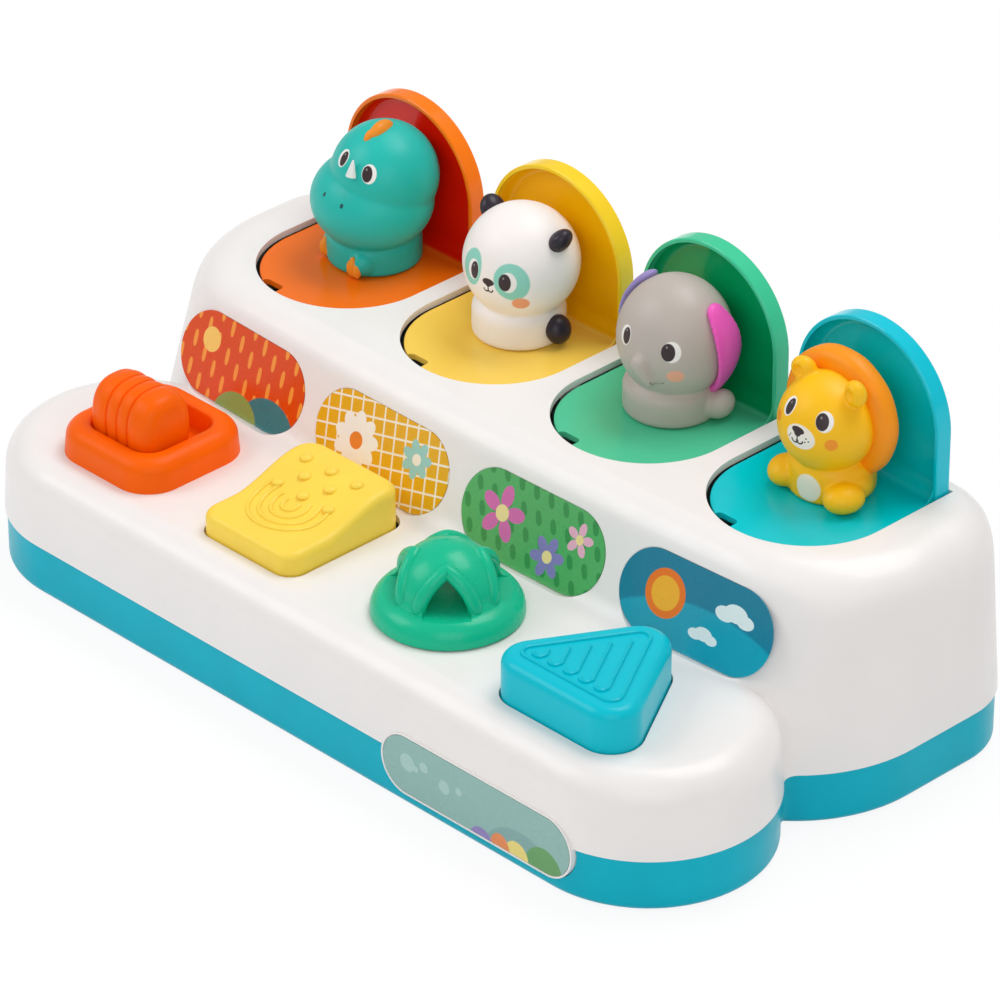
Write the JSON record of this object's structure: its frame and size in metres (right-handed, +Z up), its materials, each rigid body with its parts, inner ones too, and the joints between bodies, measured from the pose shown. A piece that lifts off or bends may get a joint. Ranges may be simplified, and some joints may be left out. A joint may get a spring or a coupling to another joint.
{
  "type": "pop up animal toy",
  "caption": "Toddler pop-up toy: coloured lids flip open to show soft animal figures when the slider, rocker, rotary or push button in front is worked.",
  "frame": {"origin": "centre of the underside of the bottom shell, on the surface the toy stands on", "axes": "+X across the toy from the orange unit to the blue one, +Y from the buttons to the back, +Z up"},
  "size_m": [0.356, 0.188, 0.1449],
  "materials": {
    "white_plastic": "satin moulded plastic",
    "shell_teal": "satin moulded plastic",
    "orange_plastic": "glossy moulded plastic",
    "yellow_plastic": "glossy moulded plastic",
    "green_plastic": "glossy moulded plastic",
    "blue_plastic": "glossy moulded plastic",
    "vinyl_teal": "soft vinyl, satin",
    "vinyl_white": "soft vinyl, satin",
    "vinyl_grey": "soft vinyl, satin",
    "vinyl_yellow": "soft vinyl, satin",
    "label_orange": "printed film label",
    "label_yellow": "printed film label",
    "label_green": "printed film label",
    "label_blue": "printed film label",
    "label_pale": "printed film label",
    "steel": "zinc plated",
    "spring_steel": "drawn wire",
    "inner_plastic": "moulded plastic"
  },
  "bodies": {
    "housing": {"top_housing": "white_plastic", "bottom_shell": "shell_teal", "housing_screws": "steel", "bracket_screws": "steel", "front_label": "label_pale", "slider_bezel": "orange_plastic", "orange_label": "label_orange", "orange_hinge_bracket": "inner_plastic", "orange_hinge_pin": "steel", "orange_lid_spring": "spring_steel", "orange_latch_pin": "steel", "orange_latch_spring": "spring_steel", "yellow_label": "label_yellow", "yellow_hinge_bracket": "inner_plastic", "yellow_hinge_pin": "steel", "yellow_lid_spring": "spring_steel", "yellow_latch_pin": "steel", "yellow_latch_spring": "spring_steel", "green_label": "label_green", "green_hinge_bracket": "inner_plastic", "green_hinge_pin": "steel", "green_lid_spring": "spring_steel", "green_latch_pin": "steel", "green_latch_spring": "spring_steel", "blue_label": "label_blue", "blue_hinge_bracket": "inner_plastic", "blue_hinge_pin": "steel", "blue_lid_spring": "spring_steel", "blue_latch_pin": "steel", "blue_latch_spring": "spring_steel"},
    "dinosaur_unit": {"orange_lid": "orange_plastic", "dinosaur": "vinyl_teal", "dinosaur_screw": "steel"},
    "orange_lever": {"orange_latch": "inner_plastic"},
    "panda_unit": {"yellow_lid": "yellow_plastic", "panda": "vinyl_white", "panda_screw": "steel"},
    "yellow_lever": {"yellow_latch": "inner_plastic"},
    "elephant_unit": {"green_lid": "green_plastic", "elephant": "vinyl_grey", "elephant_screw": "steel"},
    "green_lever": {"green_latch": "inner_plastic"},
    "lion_unit": {"blue_lid": "blue_plastic", "lion": "vinyl_yellow", "lion_screw": "steel"},
    "blue_lever": {"blue_latch": "inner_plastic"},
    "slider": {"slider_knob": "orange_plastic"},
    "key": {"rocker_key": "yellow_plastic"},
    "knob": {"rotary_knob": "green_plastic", "knob_cam": "inner_plastic"},
    "push": {"triangle_button": "blue_plastic"}
  },
  "joints": [
    {"name": "dinosaur_lid_hinge", "type": "hinge", "parent": "housing", "child": "dinosaur_unit", "pos_m": [-0.114, 0.0747, 0.0821], "axis": [1, 0, 0], "range_deg": [0, 90], "stiffness_Nm_per_rad": 0.04, "springref_deg": -57.3},
    {"name": "panda_lid_hinge", "type": "hinge", "parent": "housing", "child": "panda_unit", "pos_m": [-0.038, 0.0747, 0.0821], "axis": [1, 0, 0], "range_deg": [0, 90], "stiffness_Nm_per_rad": 0.04, "springref_deg": -57.3},
    {"name": "elephant_lid_hinge", "type": "hinge", "parent": "housing", "child": "elephant_unit", "pos_m": [0.038, 0.0747, 0.0821], "axis": [1, 0, 0], "range_deg": [0, 90], "stiffness_Nm_per_rad": 0.04, "springref_deg": -57.3},
    {"name": "lion_lid_hinge", "type": "hinge", "parent": "housing", "child": "lion_unit", "pos_m": [0.114, 0.0747, 0.0821], "axis": [1, 0, 0], "range_deg": [0, 90], "stiffness_Nm_per_rad": 0.04, "springref_deg": -57.3},
    {"name": "slider_slide", "type": "slide", "parent": "housing", "child": "slider", "axis": [0, 1, 0], "range_m": [0, 0.009], "stiffness_N_per_m": 150, "springref_m": -0.01},
    {"name": "rocker_press", "type": "hinge", "parent": "housing", "child": "key", "pos_m": [-0.038, -0.075, 0.0445], "axis": [-1, 0, 0], "range_deg": [0, 7], "stiffness_Nm_per_rad": 0.6, "springref_deg": -6.88},
    {"name": "knob_turn", "type": "hinge", "parent": "housing", "child": "knob", "pos_m": [0.038, -0.0516, 0.05], "axis": [0, 0, 1], "range_deg": [0, 45], "stiffness_Nm_per_rad": 0.05, "springref_deg": -11.46},
    {"name": "triangle_push", "type": "slide", "parent": "housing", "child": "push", "axis": [0, 0, -1], "range_m": [0, 0.004], "stiffness_N_per_m": 300, "springref_m": -0.004},
    {"name": "orange_latch_tilt", "type": "hinge", "parent": "housing", "child": "orange_lever", "pos_m": [-0.114, 0.008, 0.036], "axis": [1, 0, 0], "range_deg": [0, 4.4], "stiffness_Nm_per_rad": 0.5, "springref_deg": -4.58, "deforming": ["orange_latch_spring"]},
    {"name": "yellow_latch_tilt", "type": "hinge", "parent": "housing", "child": "yellow_lever", "pos_m": [-0.038, 0.008, 0.036], "axis": [1, 0, 0], "range_deg": [0, 4.4], "stiffness_Nm_per_rad": 0.5, "springref_deg": -4.58, "deforming": ["yellow_latch_spring"]},
    {"name": "green_latch_tilt", "type": "hinge", "parent": "housing", "child": "green_lever", "pos_m": [0.038, 0.008, 0.036], "axis": [1, 0, 0], "range_deg": [0, 4.4], "stiffness_Nm_per_rad": 0.5, "springref_deg": -4.58, "deforming": ["green_latch_spring"]},
    {"name": "blue_latch_tilt", "type": "hinge", "parent": "housing", "child": "blue_lever", "pos_m": [0.114, 0.008, 0.036], "axis": [1, 0, 0], "range_deg": [0, 4.4], "stiffness_Nm_per_rad": 0.5, "springref_deg": -4.58, "deforming": ["blue_latch_spring"]}
  ],
  "couplings": [
    {"joint": "orange_latch_tilt", "follows": "slider_slide", "rad_per_m": 7.757},
    {"joint": "yellow_latch_tilt", "follows": "rocker_press", "ratio": 0.5786},
    {"joint": "green_latch_tilt", "follows": "knob_turn", "ratio": 0.0831},
    {"joint": "blue_latch_tilt", "follows": "triangle_push", "rad_per_m": 16.668}
  ]
}
